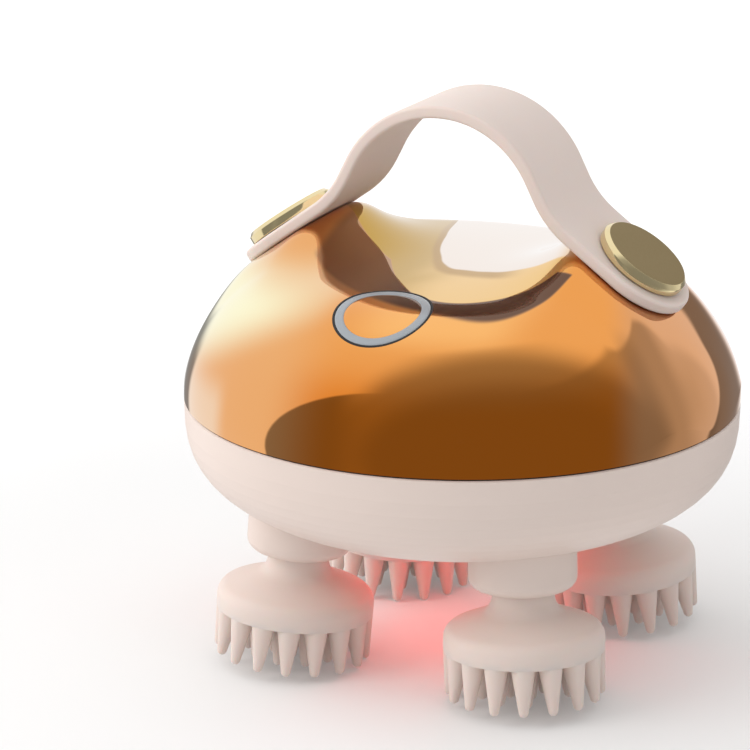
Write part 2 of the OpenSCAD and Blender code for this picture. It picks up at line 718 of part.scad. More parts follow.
module central_gear() color(white_nylon) at_seam() difference() {
    union() {
        translate([0, 0, sun_mid - gear_face / 2]) linear_extrude(gear_face)
            gear_shape(sun_teeth, slow_module);
        translate([0, 0, sun_mid])
            cylinder(d = sun_axle_d + 2 * hub_t, h = cover_floor - rub_gap - sun_mid, $fn = 48);
    }
    translate([0, 0, -bowl_h]) cylinder(d = sun_axle_d + 2 * run_gap, h = bowl_h, $fn = 48);
    translate([0, 0, sun_mid + gear_face / 2 - web_sink])
        ring(slow_module * sun_teeth / 2 - web_rim, sun_axle_d / 2 + hub_t + 2.5,
             web_sink + 2 * past);
}
module central_axle() color(steel) at_seam() translate([0, 0, -floor_drop])
    cylinder(d = sun_axle_d - 2 * face_gap, h = floor_drop + cover_floor + plate_t / 2 - axle_short,
             $fn = 40);

module intermediate_gear() color(white_nylon) at_seam() translate([0, small_y, 0]) difference() {
    union() {
        translate([0, 0, floor_top + 2 * rub_gap])
            linear_extrude(fast_z - floor_top - 2 * rub_gap + eps)
                rotate(mesh_turn(90, sun_teeth, small_teeth)) gear_shape(small_teeth, slow_module);
        translate([0, 0, fast_z]) linear_extrude(fast_face) gear_shape(large_teeth, fast_module);
    }
    translate([0, 0, -bowl_h]) cylinder(d = small_axle_d + 2 * run_gap, h = bowl_h, $fn = 48);
}
module intermediate_axle() color(steel) at_seam() translate([0, small_y, -floor_drop])
    cylinder(d = small_axle_d - 2 * face_gap,
             h = floor_drop + cover_floor + plate_t / 2 - axle_short, $fn = 40);

shaft_in = 10;       // how far the motor's shaft reaches into it
motor_end_d = 9;     // boss on its far end
motor_end_h = 1.6;
tag_at = 7;          // distance of its solder tags from its middle
tag_w = 2.4;
tag_t = 0.5;
module motor() color(steel) at_seam() translate([0, motor_y, cover_top]) difference() {
    union() {
        translate([0, 0, face_gap]) cylinder(d = motor_d, h = motor_len - face_gap, $fn = 72);
        translate([0, 0, motor_len - eps]) cylinder(d = motor_end_d, h = motor_end_h, $fn = 48);
        for (x = [-tag_at, tag_at]) translate([x, 0, motor_len - eps]) box_at([tag_w, tag_t, tag_w]);
    }
    translate([0, 0, -past])
        cylinder(d = motor_shaft_d + 2 * run_gap, h = past + shaft_in, $fn = 40);
}
module motor_shaft() color(steel) at_seam() translate([0, motor_y, fast_z])
    cylinder(d = motor_shaft_d, h = cover_top - fast_z + shaft_in - 0.5, $fn = 40);
module motor_pinion() color("#c8a24a") at_seam() translate([0, motor_y, fast_z]) difference() {
    linear_extrude(fast_face)
        rotate(mesh_turn(-90, large_teeth, pinion_teeth)) gear_shape(pinion_teeth, fast_module);
    translate([0, 0, -past])
        cylinder(d = motor_shaft_d + 2 * face_gap, h = fast_face + 2 * past, $fn = 40);
}

// ---- Battery, charging and light ----
cradle_t = 1.2;
cradle_gap = 0.6;    // between the cradle and the motor's cup
cradle_rise = 0.7;   // share of the cell's diameter that it holds
grip_len = 8;        // length of its two closed ends
cell_gap = 0.05;     // radial gap between the cell and the cradle
contact_h = 1;       // height of the cell's contact
cell_y = motor_y - motor_d / 2 - cell_d / 2 - cup_t - cradle_t - cradle_gap;
cell_z = cover_top + cradle_t + cell_d / 2;
module at_cell() at_seam() translate([0, cell_y, cell_z]) rotate([0, 90, 0]) children();

module battery() color("#5a7fa8") at_cell() {
    translate([0, 0, -cell_len / 2])
        cylinder(d = cell_d - 2 * cell_gap, h = cell_len, $fn = 72);
    translate([0, 0, cell_len / 2 - eps]) cylinder(d = cell_d / 3, h = contact_h, $fn = 32);
}
module battery_cradle() color(white_nylon) at_seam() difference() {
    translate([0, cell_y, cover_top + face_gap])
        box_at([cell_len + 2 * (cradle_t + contact_h + plate_gap),
                cell_d + 2 * cradle_t, cell_d * cradle_rise]);
    translate([0, cell_y, cell_z]) rotate([0, 90, 0]) translate([0, 0, -cell_len / 2 - plate_gap])
        cylinder(d = cell_d + 2 * cell_gap, h = cell_len + 2 * plate_gap + contact_h, $fn = 72);
    translate([0, cell_y, cell_z]) box_at([cell_len - 2 * grip_len, 2 * cell_d, cell_d]);
}

socket_t = 0.35;     // wall of the socket's metal shell
socket_back = 1;     // thickness of its back
tongue_t = 0.8;      // thickness of the tongue in it
tongue_in = 0.7;     // how far the tongue stays behind its mouth
module charging_socket() color(steel) at_port(port_face - socket_len - face_gap) {
    difference() {
        slot(socket_w, socket_h, socket_len);
        translate([0, 0, socket_back])
            slot(socket_w - 2 * socket_t, socket_h - 2 * socket_t, socket_len);
    }
    translate([0, 0, socket_back / 2])
        box_at([socket_w - socket_h, tongue_t, socket_len - socket_back / 2 - tongue_in]);
    translate([0, (socket_h + board_t) / 2 - 0.1, -socket_foot])
        box_at([socket_board_w, board_t, socket_len + socket_foot]);
}
module port_cover() color(blush) {
    intersection() {
        at_port(port_y - port_depth) port_shape(0);
        at_seam() difference() {
            bowl_block(0);
            bowl_block(port_flap);
        }
    }
    at_port(port_y - port_flap - plug_len)
        slot(socket_w - plug_t, plug_t, plug_len + port_flap / 2);
}

light_lift = 3;      // height of the light board over the shell's inner face
light_post_r = 1.8;
board_ring = 17.4;   // distance of its posts from the middle
light_board_t = 1.2;
window_step = 0.7;   // height of the window's inner shoulder
module light_window() color([0.85, 0.1, 0.1, 0.6]) at_seam() intersection() {
    bowl_block(0);
    union() {
        translate([0, 0, -bowl_h - past]) cylinder(d = window_d, h = wall + past + 0.4, $fn = 72);
        translate([0, 0, wall - bowl_h + 0.3])
            cylinder(d = window_d - 2 * window_step, h = window_step, $fn = 72);
    }
}
lamp_w = 3;
lamp_h = 1;
lamp_ring = 8;       // distance of the lamps from the middle
module light_board() color("darkgreen") at_seam() translate([0, 0, light_lift + wall - bowl_h]) {
    cylinder(r = board_ring + light_post_r + 0.2, h = light_board_t, $fn = 72);
    for (k = [0 : lamps - 1]) rotate([0, 0, 360 * k / lamps]) translate([lamp_ring, 0, -lamp_h])
        box_at([lamp_w, lamp_w, lamp_h + eps]);
}

// ---- Heads ----
bush_d = 12;
hub_neck = 9.2;
neck_in = 2.6;       // how far the hub reaches into the collar
hub_top = collar_rise + neck_in;
recess_gap = 0.7;    // around the neck in the collar
seal_gap = 0.8;      // between the hub and the seal over it
seal_at = hub_top + seal_gap;
seal_t = 2;
bush_at = seal_at + seal_t + 0.2;
hub_disc_d = 24;     // disc that the silicone is moulded around
hub_disc_z = -0.8;
hub_disc_t = 2.2;
shaft_foot = 3;      // height of the shaft's lower end over the rim
shaft_over = 1.6;    // how far the shafts stand over the gearbox cover's underside
neck_chamfer = 0.4;
tine_sink = 0.8;     // how far the tines are set into the rim
middle_share = 0.62; // share of the outer ring's distance at which the middle tines stand
inner_share = 0.25;
arc_steps = 8;

function flare_points() =
    let (run = rim_d / 2 - neck_d / 2, both = flare_r + rim_r,
         rise = both * cos(flare_slope)
                + (run - both * (1 - sin(flare_slope))) * tan(flare_slope))
    concat(
        [for (i = [0 : arc_steps]) let (a = (90 - flare_slope) * i / arc_steps)
            [neck_d / 2 + flare_r - flare_r * cos(a), rise - flare_r * sin(a)]],
        [for (i = [0 : arc_steps]) let (a = (90 - flare_slope) * (1 - i / arc_steps))
            [rim_d / 2 - rim_r + rim_r * cos(a), rim_r * sin(a)]]);

module tine(at, tip) {
    lean = atan((tip - at) / (tine_len - tip_d / 2));
    long = (tine_len - tip_d / 2) / cos(lean);
    translate([at, 0, -rim_t]) rotate([0, 180 - lean, 0]) {
        translate([0, 0, -tine_sink])
            cylinder(d1 = tine_d, d2 = tip_d, h = long + tine_sink, $fn = 32);
        translate([0, 0, long]) sphere(d = tip_d, $fn = 24);
    }
}

module massage_head(i) color(blush) at_head(i) difference() {
    union() {
        rotate_extrude($fn = 96) polygon(concat(
            [[0, hub_top - neck_chamfer], [neck_d / 2 - neck_chamfer, hub_top - neck_chamfer],
             [neck_d / 2, hub_top - 2 * neck_chamfer]],
            flare_points(),
            [[rim_d / 2 - 0.15, -rim_t * 0.5], [rim_d / 2 - 0.7, -rim_t * 0.9],
             [rim_d / 2 - 1.4, -rim_t], [0, -rim_t]]));
        for (k = [0 : outer_tines - 1]) rotate([0, 0, 360 * k / outer_tines])
            tine(tine_at, tip_at);
        for (k = [0 : middle_tines - 1]) rotate([0, 0, 360 * (k + 0.5) / middle_tines])
            tine(tine_at * middle_share, tip_at * middle_share);
        for (k = [0 : inner_tines - 1]) rotate([0, 0, 360 * k / inner_tines])
            tine(tine_at * inner_share, tip_at * inner_share);
    }
    translate([0, 0, hub_disc_z]) cylinder(d = hub_disc_d + 2 * face_gap, h = hub_disc_t, $fn = 72);
    cylinder(d = hub_neck + 2 * face_gap, h = hub_top + past, $fn = 48);
}
module head_hub(i) color("#d9d2cc") at_head(i) difference() {
    union() {
        translate([0, 0, hub_disc_z]) cylinder(d = hub_disc_d, h = hub_disc_t, $fn = 72);
        cylinder(d = hub_neck, h = hub_top, $fn = 48);
    }
    translate([0, 0, shaft_foot]) cylinder(d = shaft_d + 2 * face_gap, h = hub_top, $fn = 48);
}
shaft_top = on_axis(cover_floor) + shaft_over;
module head_shaft(i) color(steel) at_head(i)
    translate([0, 0, shaft_foot + face_gap])
        cylinder(d = shaft_d, h = shaft_top - shaft_foot, $fn = 48);
module head_gear(i) color(white_nylon) at_head(i)
    translate([0, 0, on_axis(head_gear_z) - gear_face / 2]) difference() {
        linear_extrude(gear_face)
            rotate(mesh_turn(45 + 90 * i, sun_teeth, head_teeth) - 45 - 90 * i)
                gear_shape(head_teeth, slow_module);
        translate([0, 0, -past])
            cylinder(d = shaft_d + 2 * face_gap, h = gear_face + 2 * past, $fn = 48);
    }
module head_collar(i) color(blush) difference() {
    at_head(i) rotate_extrude($fn = 96) {
        out = collar_d / 2;
        top = on_axis(past - floor_drop) + 2 * past;
        polygon(concat(
            [[neck_d / 2 + recess_gap, collar_rise]],
            [for (a = [0 : 15 : 90]) [out - collar_round + collar_round * sin(a),
                                      collar_rise + collar_round - collar_round * cos(a)]],
            [[out, top], [bush_d / 2, top], [bush_d / 2, bush_at],
             [neck_d / 2 + recess_gap, bush_at]]));
    }
    at_seam() translate([-body_r, -body_r, -floor_drop]) cube([body_d, body_d, floor_drop]);
}
module shaft_bush(i) color("#c8a24a") at_head(i) translate([0, 0, bush_at])
    ring(bush_d / 2 - face_gap, shaft_d / 2 + run_gap,
         on_axis(head_gear_z) - gear_face / 2 - rub_gap - bush_at);
module shaft_seal(i) color(dark) at_head(i) translate([0, 0, seal_at])
    ring(neck_d / 2 + recess_gap - face_gap, shaft_d / 2 + run_gap, seal_t);

top_cover();
lower_shell();
seam_seal();
hand_strap();
strap_caps();
strap_screws();
button_cap();
button_ring();
button_gasket();
control_board();
button_switch();
gearbox_floor();
gearbox_cover();
chassis_screws();
motor();
motor_shaft();
motor_pinion();
intermediate_gear();
intermediate_axle();
central_gear();
central_axle();
battery();
battery_cradle();
charging_socket();
port_cover();
light_window();
light_board();
for (i = [0 : 3]) {
    massage_head(i);
    head_hub(i);
    head_shaft(i);
    head_gear(i);
    head_collar(i);
    shaft_bush(i);
    shaft_seal(i);
}
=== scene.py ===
import bpy
import bmesh
import json
import math
from mathutils import Matrix, Vector


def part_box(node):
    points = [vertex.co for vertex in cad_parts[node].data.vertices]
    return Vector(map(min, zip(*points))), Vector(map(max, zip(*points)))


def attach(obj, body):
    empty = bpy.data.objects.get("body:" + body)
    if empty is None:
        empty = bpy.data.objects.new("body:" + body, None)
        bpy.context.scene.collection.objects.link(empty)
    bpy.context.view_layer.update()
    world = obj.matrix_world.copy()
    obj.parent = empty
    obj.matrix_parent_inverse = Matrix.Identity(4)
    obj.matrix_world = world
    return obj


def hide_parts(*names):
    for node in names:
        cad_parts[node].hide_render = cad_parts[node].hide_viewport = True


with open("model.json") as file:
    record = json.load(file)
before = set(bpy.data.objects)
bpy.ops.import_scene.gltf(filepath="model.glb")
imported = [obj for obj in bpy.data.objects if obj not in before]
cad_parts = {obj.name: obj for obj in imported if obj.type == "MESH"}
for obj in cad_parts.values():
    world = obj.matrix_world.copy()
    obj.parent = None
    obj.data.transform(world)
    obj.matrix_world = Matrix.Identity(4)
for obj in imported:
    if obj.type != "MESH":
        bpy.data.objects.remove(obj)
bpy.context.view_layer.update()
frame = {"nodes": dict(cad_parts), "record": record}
nodes = frame["nodes"]
positions = ("back_right", "back_left", "front_left", "front_right")
mm = 0.001
sealLow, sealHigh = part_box("seam_seal")
seamZ = (sealLow.z + sealHigh.z) / 2 / mm  # pieces are modelled in millimetres and scaled once
print("stage: frame loaded, seam at", round(seamZ, 3), "mm")


# Wraps an output socket, so that shader maths reads as plain expressions
class Wire:
    def __init__(self, tree, socket):
        self.tree = tree
        self.socket = socket

    def math(self, operation, other, flip=False):
        step = self.tree.nodes.new("ShaderNodeMath")
        step.operation = operation
        first, second = (other, self) if flip else (self, other)
        for slot, value in zip(step.inputs, (first, second)):
            plug(self.tree, slot, value)
        return Wire(self.tree, step.outputs[0])

    def __add__(self, other):
        return self.math("ADD", other)

    def __sub__(self, other):
        return self.math("SUBTRACT", other)

    def __rsub__(self, other):
        return self.math("SUBTRACT", other, True)

    def __mul__(self, other):
        return self.math("MULTIPLY", other)

    def __truediv__(self, other):
        return self.math("DIVIDE", other)

    def __pow__(self, other):
        return self.math("POWER", other)

    __radd__ = __add__
    __rmul__ = __mul__

    def least(self, other):
        return self.math("MINIMUM", other)

    def most(self, other):
        return self.math("MAXIMUM", other)


def plug(tree, slot, value):
    if isinstance(value, Wire):
        tree.links.new(value.socket, slot)
    else:
        slot.default_value = value


# The nodes of a material or of the world
class Wiring:
    def __init__(self, tree, coordinates):
        self.tree = tree
        place = tree.nodes.new("ShaderNodeTexCoord")
        self.place = Wire(tree, place.outputs[coordinates])

    def node(self, kind, settings, inputs, output=0):
        made = self.tree.nodes.new(kind)
        for key, value in settings.items():
            if key == "stops":
                ramp = made.color_ramp
                while len(ramp.elements) < len(value):
                    ramp.elements.new(1.0)
                for element, (at, shade) in zip(ramp.elements, value):
                    element.position = at
                    element.color = shade
            else:
                setattr(made, key, value)
        for key, value in inputs.items():
            plug(self.tree, made.inputs[key], value)
        return Wire(self.tree, made.outputs[output])

    def axes(self):
        split = self.tree.nodes.new("ShaderNodeSeparateXYZ")
        plug(self.tree, split.inputs[0], self.place)
        return [Wire(self.tree, out) for out in split.outputs]

    def noise(self, scale, detail=2.0, distortion=0.0):
        return self.node("ShaderNodeTexNoise", {"noise_dimensions": "3D"},
                         {"Vector": self.place, "Scale": scale, "Detail": detail, "Distortion": distortion})

    def ease(self, value, low, high):
        return self.node("ShaderNodeMapRange", {"interpolation_type": "SMOOTHERSTEP"},
                         {"Value": value, "From Min": low, "From Max": high})

    # A function that eases a value over a named pair of numbers in a table
    def ramps(self, table):
        return lambda value, key: self.ease(value, *table[key])

    def mix(self, factor, first, second):
        made = self.tree.nodes.new("ShaderNodeMix")
        made.data_type = "RGBA"
        for index, value in ((0, factor), (6, first), (7, second)):
            plug(self.tree, made.inputs[index], value)
        return Wire(self.tree, made.outputs[2])


# A material with one Principled shader
class Finish(Wiring):
    def __init__(self, name, fixed):
        self.material = bpy.data.materials.new(name)
        self.material.use_nodes = True
        super().__init__(self.material.node_tree, "Object")
        self.shader = self.tree.nodes["Principled BSDF"]
        for key, value in fixed.items():
            self.shader.inputs[key].default_value = value

    def bump(self, height, strength, distance):
        bumped = self.node("ShaderNodeBump", {},
                           {"Height": height, "Strength": strength, "Distance": distance})
        plug(self.tree, self.shader.inputs["Normal"], bumped)

    def feed(self, key, value):
        plug(self.tree, self.shader.inputs[key], value)


def rgb(red, green, blue):
    return (red, green, blue, 1.0)


# Amber is the gold's own colour. Lit, flank and straw are painted highlights. Deep, umber and cocoa are
# dark painted reflections. Rose and pink are painted reflections on the lower left and the right. Tan,
# cream, honey and pearl are painted reflections in the valley.
mirrorGoldAndPaintedReflections = {"amber": rgb(0.85, 0.345, 0.08), "deep": rgb(0.74, 0.20, 0.01),
                "lit": rgb(0.96, 0.48, 0.15), "flank": rgb(0.84, 0.42, 0.16),
                "straw": rgb(0.98, 0.93, 0.62), "rose": rgb(0.88, 0.64, 0.44),
                "pink": rgb(0.72, 0.34, 0.14), "tan": rgb(0.56, 0.34, 0.06), "cream": rgb(0.88, 0.57, 0.22),
                "honey": rgb(0.46, 0.25, 0.05), "pearl": rgb(0.90, 0.80, 0.73),
                "umber": rgb(0.48, 0.26, 0.13), "cocoa": rgb(0.16, 0.085, 0.055)}
# Where each painted reflection and highlight begins and is full, in mm from the body's middle and above the
# seam
mirrorFlow = {"roughness": 0.025, "swirl": 4.0, "drift": 3.0,
              "deepBelow": (25, 10), "litAbove": (21, 27), "litLeft": (-12, 8), "litRight": (34, 20),
              "flankLeft": (0, -22), "strawSlope": (57, 84), "strawBelow": (35, 22), "strawLeft": (-4, -16),
              "roseLeft": (-29, -36), "roseBelow": (14, 4), "pinkRight": (29, 41),
              "valleyAbove": (24, 29), "valleySides": (33, 24), "creamRight": (-8, 10),
              "honeyBack": (-6, -2), "honeyLeft": (22, 12), "cocoaRight": (-14, 6),
              "pearlBack": (-0.6, 0.8), "pearlFrom": -12, "pearlCurve": 0.28, "pearlLeft": 4,
              "lipMiddle": 10, "lipFront": -37.8, "lipLeftCurve": 0.0145, "lipRightCurve": 0.9e-4,
              "lipBack": -32.3, "lipBackCurve": 0.045, "lipSlope": -0.75, "lipSlopeFrom": -20.3,
              "lipSlopeEnd": -5, "lipLeft": (-27, -24.5), "lipRight": (35, 33)}


# Anodised gold mirror on an amber base colour, with painted reflections and painted highlights that run
# from a dark painted reflection at the rim to painted straw highlights and pearl reflections in the valley
def goldMirror():
    look = Finish("goldMirror", {"Metallic": 1.0, "Coat Weight": 0.15, "Coat Roughness": 0.02})
    x, y, z = [axis / mm for axis in look.axes()]
    z = z - seamZ
    flow = mirrorFlow
    drift = (look.noise(26, 1.5) - 0.5) * flow["drift"]
    swirl = (look.noise(38, 1.0, 1.6) - 0.5) * flow["swirl"]

    ramp = look.ramps(flow)
    out = x - flow["lipMiddle"]  # the painted dark reflection of the strap's underside on the valley's front lip lies between two curves
    lipEnd = (out.least(0) ** 2 * flow["lipLeftCurve"] + out.most(0) ** 4 * flow["lipRightCurve"]
              + flow["lipFront"])
    lipStart = (out ** 2 * flow["lipBackCurve"] + flow["lipBack"]).least(
        x.least(flow["lipSlopeEnd"]) * flow["lipSlope"] + flow["lipSlopeFrom"])
    paintedLipReflection = (look.ease(y - lipEnd, -1.0, 1.4) * look.ease(y - lipStart, 0.4, -0.4)
                * ramp(x, "lipLeft") * ramp(x, "lipRight"))
    valley = ramp(z, "valleyAbove") * ramp(x.math("ABSOLUTE", 0.0), "valleySides")
    inner = look.ease(y - lipStart, -0.4, 0.4) * valley
    back = y - (flow["pearlLeft"] - x).most(0) ** 1.7 * flow["pearlCurve"] - flow["pearlFrom"] + swirl
    # Painted reflections and painted highlights, laid over the amber in turn
    paintedReflectionLayers = (("deep", ramp(z + drift, "deepBelow")),
              ("lit", ramp(z, "litAbove") * ramp(x, "litLeft") * ramp(x, "litRight")),
              ("flank", ramp(x, "flankLeft") * 0.9),
              ("straw", ramp(z * 2 - x + drift, "strawSlope") * ramp(z, "strawBelow")
               * ramp(x, "strawLeft")),
              ("rose", ramp(x, "roseLeft") * ramp(z, "roseBelow") * 0.8),
              ("pink", ramp(x + y * 0.5, "pinkRight")),
              ("tan", inner),
              ("cream", inner * ramp(x + swirl * 2, "creamRight")),
              ("honey", ramp(back, "honeyBack") * ramp(x, "honeyLeft") * valley * 0.8),
              ("pearl", ramp(back, "pearlBack") * valley),
              ("umber", paintedLipReflection),
              ("cocoa", paintedLipReflection * ramp(x, "cocoaRight")))
    paint = mirrorGoldAndPaintedReflections["amber"]
    for shade, share in paintedReflectionLayers:
        paint = look.mix(share, paint, mirrorGoldAndPaintedReflections[shade])
    look.feed("Base Color", paint)
    look.feed("Roughness", look.noise(900, 3.0) * 0.015 + flow["roughness"])
    return look.material


blushLook = {"colour": rgb(0.80, 0.675, 0.61), "warm": rgb(0.83, 0.70, 0.635), "grain": 2600,
             "softWarm": rgb(0.83, 0.70, 0.64), "softGrain": 3400}


def blushShell():
    look = Finish("blushShell", {"Roughness": 0.5, "Coat Weight": 0.08, "Coat Roughness": 0.4})
    cloud = look.noise(35, 2.0)
    look.feed("Base Color", look.mix(cloud, blushLook["colour"], blushLook["warm"]))
    look.feed("Roughness", look.noise(300, 2.0) * 0.08 + 0.44)
    look.bump(look.noise(blushLook["grain"], 3.0), 0.06, 0.02 * mm)
    return look.material


def blushSilicone():
    look = Finish("blushSilicone",
                  {"Subsurface Weight": 0.12, "Subsurface Scale": 2 * mm, "Sheen Weight": 0.1})
    cloud = look.noise(60, 2.0)
    look.feed("Base Color", look.mix(cloud, blushLook["colour"], blushLook["softWarm"]))
    look.feed("Roughness", look.noise(500, 3.0) * 0.1 + 0.52)
    look.bump(look.noise(blushLook["softGrain"], 2.0), 0.08, 0.02 * mm)
    return look.material


def capFace():
    look = Finish("capFace", {"Metallic": 1.0})
    cloud = look.noise(80, 2.0)
    look.feed("Base Color", look.mix(cloud, rgb(0.265, 0.195, 0.085), rgb(0.29, 0.215, 0.10)))
    look.feed("Roughness", look.noise(1800, 3.0) * 0.1 + 0.42)
    look.bump(look.noise(5000, 2.0), 0.05, 0.01 * mm)
    return look.material


def capEdge():
    look = Finish("capEdge", {"Metallic": 1.0})
    look.feed("Base Color", look.mix(look.noise(200), rgb(0.80, 0.66, 0.36), rgb(0.86, 0.73, 0.44)))
    look.feed("Roughness", look.noise(1500, 2.0) * 0.04 + 0.09)
    return look.material


def ringGlass():
    look = Finish("ringGlass", {"Coat Weight": 0.5, "Coat Roughness": 0.12})
    look.feed("Base Color", look.mix(look.noise(150), rgb(0.30, 0.33, 0.36), rgb(0.36, 0.39, 0.42)))
    look.feed("Roughness", look.noise(1500, 2.0) * 0.08 + 0.28)
    return look.material


def plain(name, dark, light, scale, roughness, metallic=0.0, spread=0.08):
    look = Finish(name, {"Metallic": metallic})
    look.feed("Base Color", look.mix(look.noise(scale, 3.0), dark, light))
    look.feed("Roughness", look.noise(scale * 6, 2.0) * spread + roughness)
    look.bump(look.noise(scale * 20, 2.0), 0.05, 0.02 * mm)
    return look.material


redLight = {"strength": 4.2, "core": 9 * mm, "edge": 13.5 * mm}


def redWindow():
    look = Finish("redWindow", {"Roughness": 0.2, "Emission Strength": redLight["strength"]})
    x, y, z = look.axes()
    ring = look.ease((x * x + y * y) ** 0.5, redLight["edge"], redLight["core"])
    look.feed("Base Color", look.mix(look.noise(120), rgb(0.5, 0.02, 0.015), rgb(0.6, 0.03, 0.02)))
    look.feed("Emission Color", look.mix(ring, rgb(0.35, 0.004, 0.002), rgb(1.0, 0.015, 0.008)))
    return look.material


finishes = {
    "gold_mirror": goldMirror(),
    "blush_shell": blushShell(),
    "blush_silicone": blushSilicone(),
    "pale_gold_metal": capEdge(),
    "grey_ring": ringGlass(),
    "dark_rubber": plain("darkRubber", rgb(0.012, 0.011, 0.012), rgb(0.022, 0.02, 0.021), 300, 0.55),
    "steel": plain("steel", rgb(0.42, 0.43, 0.44), rgb(0.52, 0.53, 0.54), 400, 0.25, 1.0),
    "bronze": plain("bronze", rgb(0.42, 0.25, 0.09), rgb(0.5, 0.31, 0.12), 500, 0.35, 1.0),
    "nylon": plain("nylon", rgb(0.74, 0.72, 0.66), rgb(0.8, 0.78, 0.72), 120, 0.45),
    "hub_plastic": plain("hubPlastic", rgb(0.58, 0.5, 0.45), rgb(0.64, 0.56, 0.51), 150, 0.4),
    "board": plain("solderMask", rgb(0.01, 0.10, 0.045), rgb(0.014, 0.14, 0.06), 700, 0.3),
    "cell_wrap": plain("shrinkFilm", rgb(0.03, 0.13, 0.33), rgb(0.04, 0.17, 0.4), 200, 0.22),
    "red_window": redWindow(),
}
for part in frame["record"]["subparts"]:
    mesh = nodes[part["node"]].data
    mesh.materials.clear()
    mesh.materials.append(finishes[part["material_slot"]])
print("stage: finishes made")


# Edges bent by more than the sharp angle stay crisp; the rest is shaded smooth
def finishPiece(name, shape, body, slotName, replaced=(), materials=None, sharp=35):
    bmesh.ops.scale(shape, vec=(mm, mm, mm), verts=shape.verts)
    for edge in shape.edges:
        edge.smooth = not (edge.is_manifold and edge.calc_face_angle(0) > math.radians(sharp))
    for face in shape.faces:
        face.smooth = True
    mesh = bpy.data.meshes.new(name)
    shape.to_mesh(mesh)
    shape.free()
    for material in materials or [finishes[slotName]]:
        mesh.materials.append(material)
    piece = bpy.data.objects.new(name, mesh)
    bpy.context.scene.collection.objects.link(piece)
    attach(piece, body)
    if replaced:
        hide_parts(*replaced)
    return piece


def lathe(shape, outline, steps, matrix=Matrix.Identity(4)):
    line = [shape.verts.new((radius, 0, height)) for radius, height in outline]
    edges = [shape.edges.new(pair) for pair in zip(line, line[1:])]
    bmesh.ops.spin(shape, geom=line + edges, cent=(0, 0, 0), axis=(0, 0, 1), angle=math.tau, steps=steps,
                   use_merge=True)
    bmesh.ops.remove_doubles(shape, verts=shape.verts, dist=1e-4)
    bmesh.ops.transform(shape, matrix=matrix, verts=shape.verts)


def arc(centre, radius, start, end, steps):
    turns = [math.radians(start + (end - start) * i / steps) for i in range(steps + 1)]
    return [(centre[0] + radius * math.cos(a), centre[1] + radius * math.sin(a)) for a in turns]


cover = {"radius": 60, "height": 46.5, "fullR": 1.355, "fullZ": 1.97, "wall": 2.2, "foot": 0.08,
         "valley": 30.8, "valleyRise": 7.5, "valleyLegs": 26, "valleyFlare": 17, "valleyBow": 333.3,
         "valleyBlend": 5, "ridgeSink": 0.2, "ridgeFlat": 11, "ridgeRound": 10, "ridgeEnd": 8,
         "ridgeLength": 44, "ridgeBlend": 3, "shoulder": 36, "seatRise": 0.2, "rings": 84, "steps": 288}
shoulderSin = math.sin(math.radians(cover["shoulder"]))
shoulderCos = math.cos(math.radians(cover["shoulder"]))


def smoothMin(first, second, soft):
    share = max(soft - abs(first - second), 0) / soft
    return min(first, second) - share * share * soft / 4


def domeZ(radius):
    share = min(radius / cover["radius"], 1) ** cover["fullR"]
    return cover["height"] * max(0, 1 - share) ** (1 / cover["fullZ"])


# How far the flat seats of the strap lie from the body's middle, along their normal
seatDistance = cover["seatRise"] + max(r / 2 * shoulderSin + domeZ(r / 2) * shoulderCos
                                       for r in range(60, 105))


def coverZ(x, y):
    seat = (seatDistance - abs(x) * shoulderSin) / shoulderCos - cover["ridgeSink"]
    ridge = (seat - max(0, abs(y) - cover["ridgeFlat"]) ** 2 / 2 / cover["ridgeRound"]
             - max(0, abs(x) - cover["ridgeLength"]) ** 2 / 2 / cover["ridgeEnd"])
    valley = (cover["valley"] - y * y / 2 / cover["valleyBow"]
              + cover["valleyRise"] * (abs(x) / cover["valleyLegs"]) ** 3
              * math.exp(-(y / cover["valleyFlare"]) ** 2))
    raised = -smoothMin(-domeZ(math.hypot(x, y)), -ridge, cover["ridgeBlend"])
    return min(seat, smoothMin(raised, valley, cover["valleyBlend"]))


button = {"diameter": 20, "distance": 39.6, "gap": 0.15, "gasket": 0.4, "ringSide": 1.9, "ringTop": 1.7,
          "steps": 96, "faceGap": 0.06, "depth": 0.7, "gasketDepth": 1.6}
buttonSlope = math.atan((coverZ(0, button["diameter"] / 2 - button["distance"])
                         - coverZ(0, -button["diameter"] / 2 - button["distance"])) / button["diameter"])
buttonMatrix = (Matrix.Translation((0, -button["distance"], seamZ + coverZ(0, -button["distance"])))
                @ Matrix.Rotation(buttonSlope, 4, "X"))


# A point of the button's own plane, moved along its normal until it lies on the cover
def onCover(x, y, lift=0.0):
    height = 0.0
    for _ in range(24):
        point = buttonMatrix @ Vector((x, y, height))
        height -= (point.z - seamZ - coverZ(point.x, point.y)) * 0.8
    return buttonMatrix @ Vector((x, y, height + lift))


def makeCover():
    shape = bmesh.new()
    rings = cover["rings"]
    outline = [(cover["radius"] * math.sin(math.pi / 2 * i / rings), 0) for i in range(rings + 1)]
    lathe(shape, outline, cover["steps"])
    foot = cover["foot"]
    for vert in shape.verts:
        rim = vert.co.xy.length > cover["radius"] - 0.01
        vert.co.z = seamZ + (foot if rim else max(foot, coverZ(vert.co.x, vert.co.y)))
    holeRadius = button["diameter"] / 2 + button["gasket"] * 0.6  # its edge lies under the gasket
    inverse = buttonMatrix.inverted()
    inside = []
    for face in shape.faces:
        middle = face.calc_center_median()
        if middle.y < 0 and (inverse @ middle).xy.length < holeRadius:
            inside.append(face)
    bmesh.ops.delete(shape, geom=inside, context="FACES")
    for vert in shape.verts:
        if vert.is_boundary:
            local = inverse @ vert.co
            if local.xy.length < holeRadius * 1.5:
                flat = local.xy.normalized() * holeRadius
                vert.co = onCover(flat.x, flat.y)
    bmesh.ops.recalc_face_normals(shape, faces=shape.faces)
    bmesh.ops.solidify(shape, geom=shape.faces[:], thickness=cover["wall"])
    finishPiece("mirrorCover", shape, "housing", "gold_mirror", ["top_cover"], sharp=50)


makeCover()
print("stage: cover made")


